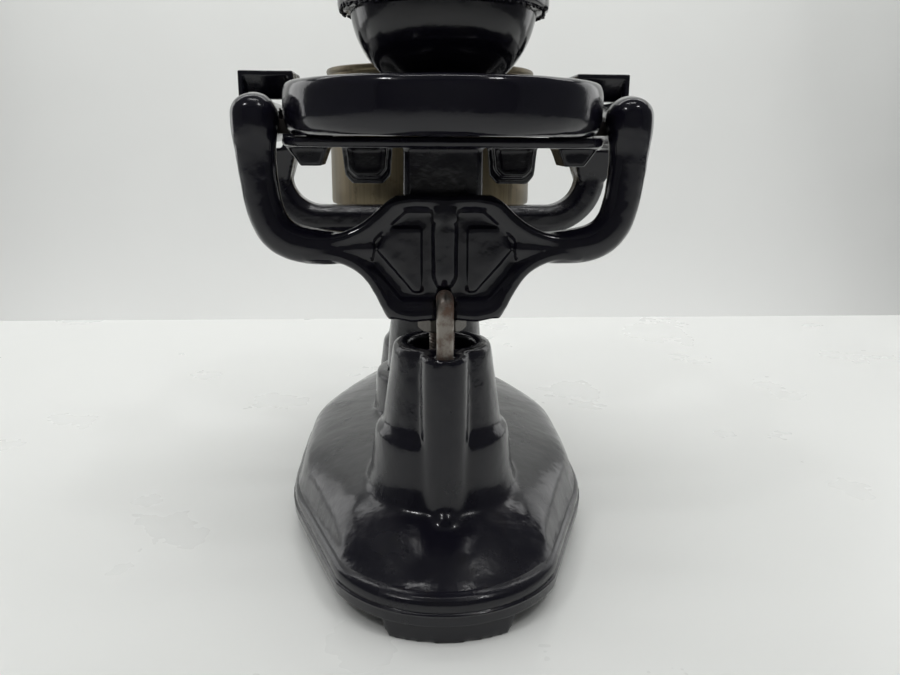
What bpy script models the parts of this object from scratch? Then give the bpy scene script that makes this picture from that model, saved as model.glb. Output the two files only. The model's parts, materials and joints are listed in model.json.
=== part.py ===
"""Counter balance scale: an equal-arm iron beam on a hollow cast base.

The scale stands on z = 0 with its long axis along Y. The near end (-Y) carries the
goods dish and its bowl, the far end (+Y) carries the brass bucket. Every dimension
below is in millimetres; make_mesh() turns them into metres.
"""
from math import cos, pi, radians, sin

import bmesh
import bpy
from mathutils import Vector

MM = 0.001
GAP = 0.3                  # clearance between two pieces that touch

# Balance geometry
ARM = 88.0                 # fulcrum to either end knife line
KNIFE_Z = 219.5            # height of the three knife lines
KNIFE_DEPTH = 6.5          # edge to back of a knife
KNIFE_HALF = 3.6           # half the width of a knife's back
STAY_Z = 28.0              # height of the check stay's pivots

# Base casting
BASE_HALF_WIDTH = 83.0
BASE_HALF_LENGTH = 167.0
FOOT_HEIGHT = 8.5
END_RADIUS = 58.6          # round nose of the plan
NOSE_CORNER = (50.0, 139.0)
SIDE_CORNER = 48.0         # where the parallel sides start
TOWER_TOP = 115.5
TOWER_BORE = 16.0
RIB_RADIUS = 11.0
RIB_Y = 113.2
PILLAR_TOP = 75.8
SOCKET_RADIUS = 24.3
SOCKET_FLOOR = 52.0
LUG_IN, LUG_OUT = 9.5, 14.5

# Centre fork
FORK_X = 89.7              # middle of each upright
FORK_BAR_Z = 165.7
FORK_BEND = 25.0
FORK_HALF = 8.1
FORK_DEPTH = 10.0
FORK_TOP = 222.0
CHEEK_IN, CHEEK_OUT = 77.5, 105.5
SLOT_IN, SLOT_OUT = 84.3, 98.7
CHEEK_DEPTH = 15.0
HOOD_TOP = 246.0
EAR_OUT = 112.4
HOOD_SCREW_X = 109.8

# Beam casting
HORN_Y = -105.0            # middle plane of the two horns
YOKE_FRONT, YOKE_BACK_TOP, YOKE_BACK_FOOT = -111.5, -101.5, -106.0
YOKE_TOP, YOKE_FOOT = 187.0, 130.9
YOKE_FLOOR_Y = -108.0      # floor of the sunk face
NOTCH_Z = 136.6            # floor of the notch that the stop hook overlaps

# Stop hook
HOOK_Y = -116.3
HOOK_RADIUS = 3.95
HOOK_BEND = 5.0
HOOK_ARM_Z = NOTCH_Z + GAP + HOOK_RADIUS
HOOK_FOOT_Z = 86.0
HOOK_TIP_Y = -110.1

# Carriers
LEG_RADIUS = 6.35
LEG_BORE = LEG_RADIUS + GAP
PLATE_Z, PLATE_TOP = 207.5, 212.0
PLATE_HALF, PLATE_DEPTH = 71.6, 30.0
STEM_HALF, STEM_DEPTH = 18.3, 8.0
STEM_FOOT = 128.4
NUT_FLATS = 20.6
SEAT_IN, SEAT_OUT = 52.5, 60.0
FAR_SEAT_IN, FAR_SEAT_OUT = 70.5, 77.8
TRAY_Z, TRAY_TOP = 164.0, 168.0
RING_IN, RING_OUT = 68.3, 73.0
RING_Z, RING_TOP = 212.0, 220.6
WEIGHT_RADIUS, WEIGHT_Z = 40.0, 131.0

# Vessels
DISH_Z = PLATE_TOP + GAP
DISH_FLOOR = 228.0
BOWL_Z = DISH_FLOOR + GAP
BOWL_RADIUS = 41.5
BOWL_CENTRE_Z = 270.0
BOWL_TOP = 275.0
BOWL_FLOOR, BOWL_FLOOR_RADIUS = 232.2, 9.0
BUCKET_Z = TRAY_TOP + GAP
BUCKET_RADIUS = 67.0
BUCKET_TOP = 254.5
BUCKET_WALL = 1.6

IRON = ("black_enamelled_iron", (0.012, 0.012, 0.015), 0.22, 0.0)
STEEL = ("worn_steel", (0.33, 0.31, 0.28), 0.42, 1.0)
BRASS = ("turned_brass", (0.52, 0.42, 0.24), 0.38, 1.0)


# Mesh helpers -----------------------------------------------------------------

def clear_scene():
    for thing in list(bpy.data.objects):
        bpy.data.objects.remove(thing, do_unlink=True)


def make_mesh(name, points, faces):
    """Return a linked object; points are in millimetres, faces point outwards."""
    mesh = bpy.data.meshes.new(name)
    mesh.from_pydata([Vector(point) * MM for point in points], [], faces)
    work = bmesh.new()
    work.from_mesh(mesh)
    bmesh.ops.recalc_face_normals(work, faces=work.faces)
    work.to_mesh(mesh)
    work.free()
    thing = bpy.data.objects.new(name, mesh)
    bpy.context.scene.collection.objects.link(thing)
    return thing


def loft(name, rings):
    """Skin a row of closed rings that have the same number of points."""
    count = len(rings[0])
    points = [point for ring in rings for point in ring]
    faces = [tuple(range(count)), tuple(range(len(points) - count, len(points)))]
    for row in range(len(rings) - 1):
        for i in range(count):
            a = row * count + i
            b = row * count + (i + 1) % count
            faces.append((a, b, b + count, a + count))
    return make_mesh(name, points, faces)


def box(name, x0, x1, y0, y1, z0, z1):
    corners = [(x0, y0), (x1, y0), (x1, y1), (x0, y1)]
    return loft(name, [[(x, y, z) for x, y in corners] for z in (z0, z1)])


def prism_x(name, outline, x0, x1):
    """Extrude a (y, z) outline along X."""
    return loft(name, [[(x, y, z) for y, z in outline] for x in (x0, x1)])


def prism_y(name, outline, y0, y1):
    """Extrude an (x, z) outline along Y."""
    return loft(name, [[(x, y, z) for x, z in outline] for y in (y0, y1)])


def prism_z(name, outline, z0, z1):
    """Extrude an (x, y) outline along Z."""
    return loft(name, [[(x, y, z) for x, y in outline] for z in (z0, z1)])


def circle(radius, steps, x=0.0, y=0.0, turn=0.0):
    angles = [2 * pi * (i + turn) / steps for i in range(steps)]
    return [(x + radius * cos(a), y + radius * sin(a)) for a in angles]


def rod_z(name, radius, x, y, z0, z1, steps=16):
    return prism_z(name, circle(radius, steps, x, y), z0, z1)


def rod_x(name, radius, y, z, x0, x1, steps=12):
    return prism_x(name, circle(radius, steps, y, z), x0, x1)


def hexagon(name, flats, x, y, z0, z1):
    return prism_z(name, circle(flats / (2 * cos(pi / 6)), 6, x, y), z0, z1)


def lathe(name, profile, y=0.0, steps=32):
    """Turn an (r, z) profile about the vertical through (0, y)."""
    points = []
    rows = []
    for radius, z in profile:
        if radius < 0.01:
            points.append((0.0, y, z))
            rows.append([len(points) - 1] * steps)
        else:
            start = len(points)
            points += [(px, py, z) for px, py in circle(radius, steps, 0.0, y)]
            rows.append(list(range(start, start + steps)))
    if profile[0][0] >= 0.01:
        rows.append(rows[0])
    faces = []
    for lower, upper in zip(rows, rows[1:]):
        for i in range(steps):
            j = (i + 1) % steps
            face = []
            for corner in (lower[i], lower[j], upper[j], upper[i]):
                if corner not in face:
                    face.append(corner)
            if len(face) > 2:
                faces.append(tuple(face))
    return make_mesh(name, points, faces)


def arc(x, z, radius, start, end, steps):
    angles = [radians(start + (end - start) * i / steps) for i in range(steps + 1)]
    return [(x + radius * cos(a), z + radius * sin(a)) for a in angles]


def mirrored(half):
    """Close a right-hand half outline, listed top to foot, with its mirror image."""
    return half + [(-x, z) for x, z in reversed(half) if x > 0.01]


def sweep(name, path, sections, side, steps=12, corner=0.0):
    """Sweep an oval (or, with a corner, an eight-sided bar) along a path.

    sections holds (half width along side, half height) for each path point.
    """
    path = [Vector(point) for point in path]
    side = Vector(side)
    rings = []
    for i, centre in enumerate(path):
        ahead = path[min(i + 1, len(path) - 1)] - path[max(i - 1, 0)]
        along = ahead.normalized()
        across = (side - along * side.dot(along)).normalized()
        up = along.cross(across)
        wide, high = sections[i]
        if corner:
            cut = [(wide, high - corner), (wide - corner, high), (corner - wide, high),
                   (-wide, high - corner), (-wide, corner - high), (corner - wide, -high),
                   (wide - corner, -high), (wide, corner - high)]
        else:
            angles = [2 * pi * k / steps for k in range(steps)]
            cut = [(wide * cos(a), high * sin(a)) for a in angles]
        rings.append([tuple(centre + across * u + up * v) for u, v in cut])
    return loft(name, rings)


def combine(body, operation, others):
    """Apply exact Booleans to body and remove the tools."""
    for other in others:
        modifier = body.modifiers.new(other.name, "BOOLEAN")
        modifier.operation = operation
        modifier.object = other
    graph = bpy.context.evaluated_depsgraph_get()
    mesh = bpy.data.meshes.new_from_object(body.evaluated_get(graph))
    body.modifiers.clear()
    body.data = mesh
    for other in others:
        bpy.data.objects.remove(other, do_unlink=True)
    return body


def join(body, *others):
    return combine(body, "UNION", others)


def cut(body, *others):
    return combine(body, "DIFFERENCE", others)


def finish(thing, name, look, axis=None):
    """Name the piece, give it its material, and hang it on its joint's axis."""
    thing.name = name
    thing.data.name = name
    title, colour, roughness, metallic = look
    material = bpy.data.materials.new(title + "." + name)
    material.use_nodes = True
    shader = material.node_tree.nodes["Principled BSDF"]
    shader.inputs["Base Color"].default_value = (*colour, 1.0)
    shader.inputs["Roughness"].default_value = roughness
    shader.inputs["Metallic"].default_value = metallic
    thing.data.materials.clear()
    thing.data.materials.append(material)
    thing.data.shade_smooth()
    thing.data.set_sharp_from_angle(angle=radians(35))
    if axis:
        for vertex in thing.data.vertices:
            vertex.co -= axis.location
        thing.parent = axis
    return thing


def axis_empty(name, y, z):
    empty = bpy.data.objects.new(name, None)
    empty.location = (0.0, y * MM, z * MM)
    bpy.context.scene.collection.objects.link(empty)
    return empty


# Base -------------------------------------------------------------------------

def plan_ring(half_width, half_length, z):
    """Plan of the base: round noses, tapering flats and parallel sides."""
    corner_x, corner_y = NOSE_CORNER
    centre = BASE_HALF_LENGTH - END_RADIUS
    quarter = arc(0.0, centre, END_RADIUS, 31.5, 90.0, 5)
    quarter = [(BASE_HALF_WIDTH, SIDE_CORNER - 4), (BASE_HALF_WIDTH - 1.2, SIDE_CORNER + 4),
               (corner_x + 2.5, corner_y - 6)] + quarter
    right = [(x, -y) for x, y in reversed(quarter)] + quarter
    outline = right + [(-x, y) for x, y in reversed(right) if x > 0.01]
    wide = half_width / BASE_HALF_WIDTH
    long = half_length / BASE_HALF_LENGTH
    return [(x * wide, y * long, z) for x, y in outline]


def tower_parts(sign):
    y = sign * ARM
    body = lathe("tower", [(0, 38), (41, 38), (38, 44), (35.6, 50.5), (35, 56), (33.6, 70.5),
                           (32.6, 72.2), (30.2, 73.7), (27, 93), (24.4, 112), (23.4, 114.8),
                           (22, TOWER_TOP), (0, TOWER_TOP)], y, 28)
    rib = rod_z("rib", RIB_RADIUS, 0.0, sign * RIB_Y, 36.0, TOWER_TOP - 0.6, 20)
    return [body, rib]


def foot(name, sign):
    """Pad under a round nose of the plan."""
    centre = sign * (BASE_HALF_LENGTH - END_RADIUS)
    outer = arc(0.0, 0.0, END_RADIUS - 0.6, -31, 31, 6)
    inner = arc(0.0, 0.0, END_RADIUS - 11.5, 31, -31, 6)
    outline = [(-y, centre + sign * x) for x, y in outer + inner]
    return prism_z(name, outline, 0.0, FOOT_HEIGHT + 1)


def base_casting():
    shell = [(FOOT_HEIGHT, 83, 167), (15.6, 83, 167), (16.2, 81.6, 165.4), (17.2, 82.6, 166.2),
             (19.4, 82.4, 165.8), (20.6, 80.6, 163), (22.5, 79.6, 158.5), (29, 78.2, 149),
             (35, 76, 139), (40, 69.5, 130), (44.5, 58.5, 119), (48, 46, 110), (50.5, 34, 102),
             (51.5, 20, 80)]
    hollow = [(-1, 77, 161), (16, 77, 161), (24, 73, 149), (34, 68, 131), (40, 57, 117),
              (44, 40, 98), (45.5, 20, 78)]
    body = loft("base", [plan_ring(wide, long, z) for z, wide, long in shell])
    pillar = lathe("pillar", [(0, 40), (41, 40), (38.5, 46), (37, 51), (35.4, 74.2),
                              (34.2, PILLAR_TOP), (0, PILLAR_TOP)], 0.0, 28)
    join(body, *tower_parts(-1), *tower_parts(1), pillar)
    cut(body, loft("hollow", [plan_ring(wide, long, z) for z, wide, long in hollow]))
    feet = [foot("near_foot", -1), foot("far_foot", 1)]
    for side in (-1, 1):
        x0, x1 = sorted((side * 71.5, side * 82.4))
        feet.append(box("side_foot", x0, x1, -22.0, 22.0, 0.0, FOOT_HEIGHT + 1))
    lugs = []
    for side in (-1, 1):
        x0, x1 = sorted((side * LUG_IN, side * LUG_OUT))
        lugs.append(prism_x("lug", [(-9, 48), (-9, 27), (-6, 21), (6, 21), (9, 27), (9, 48)], x0, x1))
    join(body, *feet, *lugs)
    cut(body, rod_z("near_bore", TOWER_BORE, 0, -ARM, 30, 125, 24),
        rod_z("far_bore", TOWER_BORE, 0, ARM, 30, 125, 24),
        rod_z("socket", SOCKET_RADIUS, 0, 0, SOCKET_FLOOR, 90, 24),
        rod_z("bolt_hole", 5.3, 0, 0, 40, 60, 12),
        rod_x("pin_hole", 3.3, 0, STAY_Z, -20, 20),
        rod_z("hook_hole", HOOK_RADIUS + GAP, 0, HOOK_Y, HOOK_FOOT_Z - GAP, 125, 12))
    finish(body, "base_casting", IRON)


def fork_casting():
    column = lathe("column", [(0, SOCKET_FLOOR + GAP), (SOCKET_RADIUS - GAP, SOCKET_FLOOR + GAP),
                              (SOCKET_RADIUS - GAP, PILLAR_TOP + GAP), (29.2, PILLAR_TOP + GAP),
                              (28.2, 90), (26.6, 105), (26, 130), (27, 150), (30, 161),
                              (30, 164), (0, 164)], 0.0, 28)
    bend_x = FORK_X - FORK_BEND
    bend_z = FORK_BAR_Z + FORK_BEND
    half = [(x, z) for x, z in arc(bend_x, bend_z, FORK_BEND, -90, 0, 7)] + [(FORK_X, 198.0)]
    path = [(-x, 0.0, z) for x, z in reversed(half)] + [(x, 0.0, z) for x, z in half]
    sections = [(FORK_DEPTH, FORK_HALF)] * len(path)
    fork = sweep("fork", path, sections, (0, 1, 0), corner=4.5)
    cheeks = []
    for side in (-1, 1):
        rings = []
        levels = [(188, FORK_X - 7.6, FORK_X + 7.6, 9), (204, CHEEK_IN, CHEEK_OUT, CHEEK_DEPTH),
                  (FORK_TOP, CHEEK_IN, CHEEK_OUT, CHEEK_DEPTH)]
        for z, x0, x1, depth in levels:
            corners = [(x0, -depth), (x1, -depth), (x1, depth), (x0, depth)]
            rings.append([(side * x, y, z) for x, y in corners])
        cheeks.append(loft("cheek", rings))
        x0, x1 = sorted((side * (CHEEK_OUT - 1), side * EAR_OUT))
        cheeks.append(box("ear", x0, x1, -5, 5, 212, FORK_TOP - 0.2))
    join(column, fork, *cheeks)
    tools = [rod_z("bolt_bore", 5.3, 0, 0, 50, 70, 12)]
    for side in (-1, 1):
        x0, x1 = sorted((side * SLOT_IN, side * SLOT_OUT))
        tools.append(box("slot", x0, x1, -30, 30, 205.5, 230))
        x0, x1 = sorted((side * (SLOT_IN - 5), side * (SLOT_OUT + 5)))
        tools.append(box("pocket", x0, x1, -6.3, 6.3, 213.2, 230))
        tools.append(rod_z("screw_bore", 1.9, side * HOOD_SCREW_X, 0, 214, 230, 10))
    finish(cut(column, *tools), "centre_fork", IRON)
    bolt = hexagon("bolt", 15.0, 0, 0, 38.0, 45.2)
    finish(join(bolt, rod_z("shank", 5.0, 0, 0, 45.0, 69.0, 12)), "fork_bolt", STEEL)


def fulcrum_fittings(side, word):
    """V-bearings, hood and hood screw on one upright of the fork."""
    for place, x_low in (("inner", SLOT_IN - 4.7), ("outer", SLOT_OUT)):
        x0, x1 = sorted((side * x_low, side * (x_low + 4.7)))
        block = prism_x("block", [(-6, 213.5), (6, 213.5), (6, 221.8), (3, 221.8),
                                  (0, KNIFE_Z - GAP), (-3, 221.8), (-6, 221.8)], x0, x1)
        finish(block, f"fulcrum_bearing_{word}_{place}", STEEL)
    foot_z = FORK_TOP + 0.4
    x0, x1 = sorted((side * 77.0, side * 106.5))
    hood = box("hood", x0, x1, -15.5, 15.5, foot_z, HOOD_TOP)
    x0, x1 = sorted((side * 106.0, side * EAR_OUT))
    join(hood, box("ear", x0, x1, -5, 5, foot_z, foot_z + 3.6))
    middle = side * (77.0 + 106.5) / 2
    rings = []
    for y, half, roof in ((-16, 12.0, 243.7), (-5, 10.4, 231.8), (5, 10.4, 231.8), (16, 12.0, 243.7)):
        outline = [(-half, 226), (half, 226), (half, roof), (-half, roof)]
        rings.append([(middle + x, y, z) for x, z in outline])
    cut(hood, box("tunnel_foot", middle - 12.8, middle + 12.8, -20, 20, 215, 230.4),
        loft("tunnel", rings), rod_z("screw_hole", 2.2, side * HOOD_SCREW_X, 0, 215, 240, 10))
    finish(hood, f"bearing_hood_{word}", IRON)
    head_z = foot_z + 3.6 + GAP
    screw = rod_z("head", 2.8, side * HOOD_SCREW_X, 0, head_z, head_z + 2.4, 12)
    slot = box("slot", side * HOOD_SCREW_X - 5, side * HOOD_SCREW_X + 5, -0.5, 0.5, head_z + 1.4, 240)
    cut(join(screw, rod_z("shank", 1.6, side * HOOD_SCREW_X, 0, 215, head_z + 0.5, 10)), slot)
    finish(screw, f"hood_screw_{word}", STEEL)


def stop_hook():
    path = [(0, HOOK_Y, HOOK_FOOT_Z), (0, HOOK_Y, 110), (0, HOOK_Y, HOOK_ARM_Z - HOOK_BEND)]
    centre_y = HOOK_Y + HOOK_BEND
    centre_z = HOOK_ARM_Z - HOOK_BEND
    for y, z in arc(centre_y, centre_z, HOOK_BEND, 180, 90, 5)[1:]:
        path.append((0, y, z))
    path.append((0, HOOK_TIP_Y, HOOK_ARM_Z))
    sections = [(HOOK_RADIUS, HOOK_RADIUS)] * len(path)
    finish(sweep("hook", path, sections, (1, 0, 0)), "stop_hook", STEEL)


# Beam -------------------------------------------------------------------------

ARM_LINE = [  # x, y, half width, half height of a side arm, near end to far end
    (82.5, -112.5, 4.5, 5.0), (82.5, -110.0, 7.8, 8.2), (82.5, -105.0, 10.0, 10.5),
    (83.6, -92.0, 9.6, 10.2), (87.6, -60.0, 7.8, 9.8), (91.0, -28.0, 6.4, 10.5),
    (91.5, 0.0, 6.0, 11.0), (91.3, 28.0, 6.4, 10.5), (90.0, 60.0, 7.4, 9.6),
    (88.3, 90.0, 8.4, 9.4), (88.0, 99.0, 8.2, 9.0), (88.0, 103.5, 6.0, 6.6), (88.0, 105.5, 2.6, 3.0)]

HORN_LINE = [  # x, z, radius of a horn, from the arm down and in to the yoke
    (82.5, 219.5, 10.2), (82.6, 206.0, 8.9), (81.6, 193.0, 8.3), (80.0, 182.0, 8.2),
    (77.4, 174.4, 8.3), (73.2, 169.0, 8.4), (67.8, 166.0, 8.4), (61.4, 164.4, 8.2),
    (54.8, 163.6, 7.8), (44.0, 163.2, 7.2), (32.0, 163.2, 6.6)]

YOKE_HALF = [(21.5, YOKE_TOP), (24.0, 185.4), (27.4, 181.5), (34.2, 175.7), (43.3, 170.7),
             (50.0, 168.7), (50.0, 158.2), (43.7, 155.2), (36.0, 149.7), (30.3, 141.3),
             (27.4, 133.2), (25.6, YOKE_FOOT)]
RECESS_HALF = [(16.9, 180.0), (36.9, 162.0), (19.6, 140.6)]
PANEL = [(10.4, 172.8), (25.5, 172.8), (30.5, 163.0), (14.0, 143.5), (10.4, 143.5)]


def knife_outline(y, down, grow=0.0):
    """Triangle of a knife, edge at the knife line."""
    turn = 1 if down else -1
    half = KNIFE_HALF + grow * 1.2
    back = KNIFE_Z + turn * (KNIFE_DEPTH + grow)
    return [(y, KNIFE_Z - turn * grow * 2.2), (y + turn * half, back), (y - turn * half, back)]


def knives():
    """Name, y, edge down, inner x and outer x of each pair of knives."""
    return [("fulcrum_knife", 0.0, True, 79.9, 103.1),
            ("near_knife", -ARM, False, 52.9, 90.0),
            ("far_knife", ARM, False, 70.9, 92.5)]


def beam_body(axis):
    parts = []
    for side in (-1, 1):
        path = [(side * x, y, KNIFE_Z) for x, y, _, _ in ARM_LINE]
        parts.append(sweep("arm", path, [(wide, high) for _, _, wide, high in ARM_LINE], (1, 0, 0)))
        path = [(side * x, HORN_Y, z) for x, z, _ in HORN_LINE]
        parts.append(sweep("horn", path, [(r, r) for _, _, r in HORN_LINE], (0, 1, 0)))
    yoke = prism_y("yoke", mirrored(YOKE_HALF), YOKE_FRONT, YOKE_BACK_TOP)
    cut(yoke, prism_y("recess", mirrored(RECESS_HALF), YOKE_FRONT - 5, YOKE_FLOOR_Y),
        prism_x("back_slope", [(YOKE_BACK_TOP, 188), (YOKE_BACK_FOOT, 130), (YOKE_BACK_FOOT, 120),
                               (-90, 120), (-90, 188)], -60, 60))
    raised = []
    for side in (-1, 1):
        outline = [(side * x, z) for x, z in PANEL]
        raised.append(prism_y("panel", outline, YOKE_FLOOR_Y - 1.8, YOKE_FLOOR_Y + 1))
    rib = []
    for z, set_back in ((145.6, 4.2), (150.5, 1.5), (178.0, 1.5)):
        rib.append([(x, y, z) for x, y in arc(0.0, YOKE_FLOOR_Y + set_back, 6.4, 190, 350, 7)])
    raised.append(loft("rib", rib))
    join(yoke, *raised)
    cut(yoke, box("notch", -4.6, 4.6, -120, YOKE_FLOOR_Y, NOTCH_Z, 142.5))
    join(yoke, *parts)
    tools = []
    for _, y, down, x0, x1 in knives():
        for side in (-1, 1):
            low, high = sorted((side * (x0 - 1), side * (x1 + GAP)))
            tools.append(prism_x("knife_hole", knife_outline(y, down, GAP), low, high))
    finish(cut(yoke, *tools), "beam_casting", IRON, axis)
    for name, y, down, x0, x1 in knives():
        for side, word in ((-1, "left"), (1, "right")):
            low, high = sorted((side * x0, side * x1))
            finish(prism_x("knife", knife_outline(y, down), low, high), f"{name}_{word}", STEEL, axis)


# Carriers ---------------------------------------------------------------------

def seat_posts(x0, x1, y, z0):
    """Posts on both sides of an end knife, which hold its bearing."""
    posts = []
    for side in (-1, 1):
        for turn in (-1, 1):
            low, high = sorted((side * x0, side * x1))
            y0, y1 = sorted((y + turn * 7.2, y + turn * 12.0))
            posts.append(box("post", low, high, y0, y1, z0, 221.0))
    return posts


def end_bearings(prefix, x0, x1, y, axis):
    for side, word in ((-1, "left"), (1, "right")):
        low, high = sorted((side * x0, side * x1))
        outline = [(y - 12, 221.3), (y - 6.6, 221.3), (y - 6.6, 214.8), (y - 4.9, 214.8),
                   (y, KNIFE_Z + GAP), (y + 4.9, 214.8), (y + 6.6, 214.8), (y + 6.6, 221.3),
                   (y + 12, 221.3), (y + 12, 229), (y - 12, 229)]
        finish(prism_x("bearing", outline, low, high), f"{prefix}_bearing_{word}", STEEL, axis)


def leg(prefix, y, top, nut_z, axis):
    """Threaded leg rod with its nut and the clevis at its foot."""
    finish(rod_z("rod", LEG_RADIUS, 0, y, 39.0, top), f"{prefix}_leg_rod", STEEL, axis)
    nut = hexagon("nut", NUT_FLATS, 0, y, nut_z, nut_z + 6.8)
    finish(cut(nut, rod_z("bore", LEG_BORE, 0, y, nut_z - 5, nut_z + 12)), f"{prefix}_leg_nut", STEEL, axis)
    clevis = box("clevis", -11, 11, y - 8, y + 8, 19, 49)
    cut(clevis, box("gap", -6.8, 6.8, y - 12, y + 12, 10, 36.5),
        rod_x("eye", 3.7, y, STAY_Z, -15, 15), rod_z("socket", LEG_BORE, 0, y, 38.7, 55))
    finish(clevis, f"{prefix}_leg_clevis", STEEL, axis)


def near_carrier(axis):
    y = -ARM
    corner = 18.0
    plate = []
    for quarter, (sx, sy) in enumerate(((1, 1), (-1, 1), (-1, -1), (1, -1))):
        cx = sx * (PLATE_HALF - corner)
        cy = y + sy * (PLATE_DEPTH - corner)
        plate += arc(cx, cy, corner, quarter * 90, quarter * 90 + 90, 4)
    body = prism_z("plate", plate, PLATE_Z, PLATE_TOP)
    stem = []
    for z, wide, chamfer in ((STEM_FOOT, 10.0, 4), (148, 11.5, 4), (163, STEM_HALF, 3),
                             (PLATE_TOP - 1, STEM_HALF, 3)):
        deep = STEM_DEPTH
        ring = [(wide, deep - chamfer), (wide - chamfer, deep), (chamfer - wide, deep),
                (-wide, deep - chamfer), (-wide, chamfer - deep), (chamfer - wide, -deep),
                (wide - chamfer, -deep), (wide, chamfer - deep)]
        stem.append([(px, y + py, z) for px, py in ring])
    parts = [loft("stem", stem)] + seat_posts(SEAT_IN, SEAT_OUT, y, PLATE_TOP - 1)
    for side in (-1, 1):
        wedge = [(51.5, 208.5), (71.5, 208.5), (64.2, 199.2), (55.2, 199.2)]
        parts.append(prism_y("wedge", [(side * x, z) for x, z in wedge], y - 12, y + 12))
        wide = [(23.2, 208.5), (24.6, 193.5), (28.5, 189.5), (43.5, 189.5), (47.0, 193.5), (48.6, 208.5)]
        slim = [(25.6, 208.4), (27.0, 196.5), (30.0, 193.2), (41.8, 193.2), (44.8, 196.5), (46.2, 208.4)]
        parts.append(prism_y("lug", [(side * x, z) for x, z in wide], -64, -59))
        parts.append(prism_y("boss", [(side * x, z) for x, z in slim], -70, -63))
    join(body, *parts)
    cut(body, rod_z("bore", LEG_BORE, 0, y, 120, 141))
    finish(body, "near_carrier", IRON, axis)
    end_bearings("near", SEAT_IN + 0.2, SEAT_OUT - 0.2, y, axis)
    leg("near", y, 140.5, 121.3, axis)


def far_carrier(axis):
    y = ARM
    body = lathe("ring", [(RING_IN, RING_Z), (RING_OUT, RING_Z), (RING_OUT, RING_TOP),
                          (RING_IN, RING_TOP)], y, 32)
    parts = [rod_z("tray", 60.0, 0, y, TRAY_Z, TRAY_TOP, 32)]
    parts += seat_posts(FAR_SEAT_IN, FAR_SEAT_OUT, y, RING_Z + 0.6)
    for turn in (-1, 1):
        y0, y1 = sorted((y + turn * (RING_IN + 0.5), y + turn * (RING_OUT - 0.4)))
        parts.append(box("strap", -8, 8, y0, y1, TRAY_Z + 0.4, RING_TOP - 2))
        y0, y1 = sorted((y + turn * 50, y + turn * (RING_OUT - 0.6)))
        parts.append(box("strap_foot", -8, 8, y0, y1, TRAY_Z + 0.2, TRAY_TOP - 0.2))
    join(body, *parts)
    tools = [rod_z("bore", LEG_BORE, 0, y, 150, 175)]
    for side in (-1, 1):
        x0, x1 = sorted((side * 60, side * 90))
        tools.append(box("knife_way", x0, x1, y - 7.0, y + 7.0, 200, 240))
    join_back = []
    for side in (-1, 1):
        x0, x1 = sorted((side * RING_IN, side * (FAR_SEAT_IN - 0.6)))
        join_back.append(box("bridge", x0, x1, y - 7.6, y + 7.6, RING_Z + 0.3, RING_TOP - 0.4))
    cut(body, *tools)
    join(body, *join_back)
    finish(body, "far_carrier", IRON, axis)
    end_bearings("far", FAR_SEAT_IN + 0.2, FAR_SEAT_OUT - 0.2, y, axis)
    weight = rod_z("weight", WEIGHT_RADIUS, 0, y, WEIGHT_Z, TRAY_Z - GAP, 28)
    cut(weight, rod_z("bore", LEG_BORE, 0, y, 120, 175))
    finish(weight, "far_balance_weight", IRON, axis)
    leg("far", y, TRAY_TOP - 0.4, WEIGHT_Z - GAP - 6.8, axis)


# Vessels ----------------------------------------------------------------------

def goods_dish(axis):
    profile = [(62.3, DISH_Z), (65.0, DISH_Z), (68.2, 214.2), (70.4, 217.6), (71.7, 223),
               (72.0, 229), (71.3, 232.8), (69.4, 234.8), (67.0, 235.3), (53.0, 235.3),
               (51.2, 234.6), (50.2, 233.0), (48.6, 229.4), (46.5, DISH_FLOOR), (0, DISH_FLOOR),
               (0, 224.4), (46.5, 224.4), (49.8, 226.0), (51.6, 231.4), (53.2, 232.2),
               (66.8, 232.2), (68.7, 229.2), (68.4, 223.2), (67.0, 218.6), (64.6, 215.4),
               (62.3, 214.2)]
    dish = lathe("dish", profile, -ARM, 36)
    tools = []
    for side in (-1, 1):
        x0, x1 = sorted((side * 60.5, side * 74))
        tools.append(box("slot", x0, x1, -ARM - 6.5, -ARM + 6.5, 205, 221.5))
    finish(cut(dish, *tools), "goods_dish", IRON, axis)


def goods_bowl(axis):
    """Near-hemisphere with a small flat foot and a flanged rim."""
    def radius_at(z, radius):
        return (radius ** 2 - (BOWL_CENTRE_Z - z) ** 2) ** 0.5

    outer = [(radius_at(z, BOWL_RADIUS), z) for z in (232.5, 236, 241, 247, 254, 261, 264.4)]
    inner = [(radius_at(z, BOWL_RADIUS - 3), z) for z in (268, 261, 254, 247, 241, 236.5, 233.4)]
    profile = [(0, BOWL_Z), (15, BOWL_Z), (16, BOWL_Z + 1)] + outer
    profile += [(45.6, 265.2), (46.4, 266.6), (46.4, 273.4), (45.4, BOWL_TOP), (40.4, BOWL_TOP),
                (39.0, 273.4)] + inner + [(BOWL_FLOOR_RADIUS, BOWL_FLOOR), (0, BOWL_FLOOR)]
    finish(lathe("bowl", profile, -ARM, 36), "goods_bowl", IRON, axis)


def brass_bucket(axis):
    inner = BUCKET_RADIUS - BUCKET_WALL
    profile = [(0, BUCKET_Z), (BUCKET_RADIUS - 2, BUCKET_Z), (BUCKET_RADIUS, BUCKET_Z + 2),
               (BUCKET_RADIUS, BUCKET_TOP - 4.5), (BUCKET_RADIUS + 1.0, BUCKET_TOP - 3.4),
               (BUCKET_RADIUS + 1.0, BUCKET_TOP - 1.0), (BUCKET_RADIUS - 0.2, BUCKET_TOP),
               (inner - 0.6, BUCKET_TOP), (inner - 1.4, BUCKET_TOP - 1.2), (inner, BUCKET_TOP - 4.5),
               (inner, BUCKET_Z + 3.4), (inner - 2, BUCKET_Z + 1.8), (0, BUCKET_Z + 1.8)]
    finish(lathe("bucket", profile, ARM, 36), "brass_bucket", BRASS, axis)


# Check stay -------------------------------------------------------------------

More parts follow.
